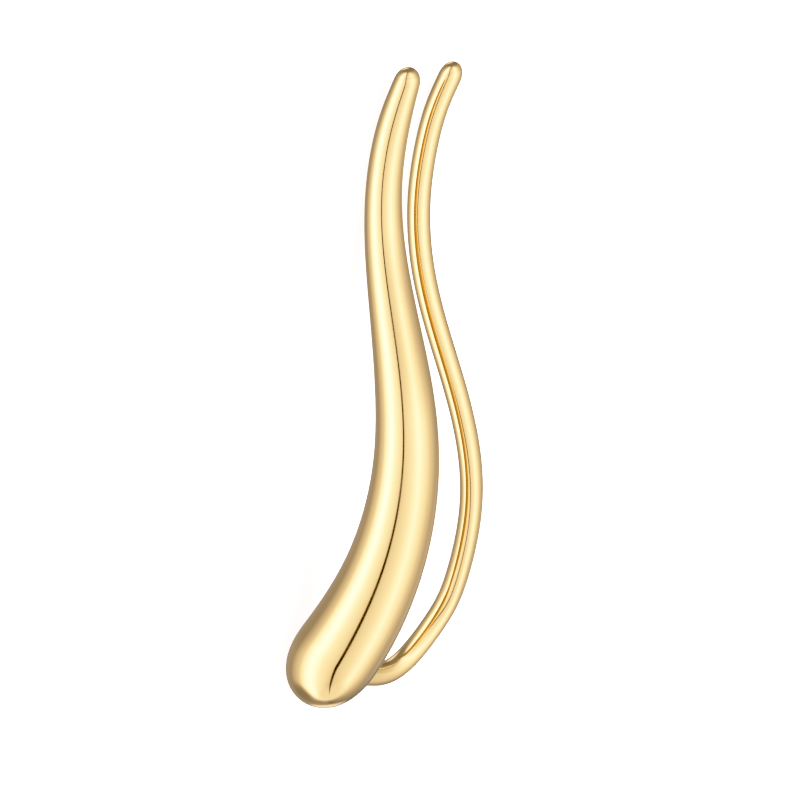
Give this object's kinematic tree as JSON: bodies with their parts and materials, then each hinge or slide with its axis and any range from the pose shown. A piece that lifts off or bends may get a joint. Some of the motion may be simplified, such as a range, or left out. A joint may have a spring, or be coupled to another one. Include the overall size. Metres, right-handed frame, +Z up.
{
  "type": "ear climber",
  "caption": "Tapered S-curved gold drop with a round bulb, soldered to a round ear wire that follows it up behind the ear.",
  "frame": {"origin": "on the surface that it lies on, under the middle of its bounding box", "axes": "+X along the climber towards the bulb, +Y from the drop to the ear wire, which is towards the head as worn, +Z up from the surface that it lies on"},
  "size_m": [0.0304, 0.01, 0.0062],
  "materials": {
    "gold": "mirror-polished yellow gold"
  },
  "bodies": {
    "root": {"climber": "gold"}
  },
  "joints": []
}
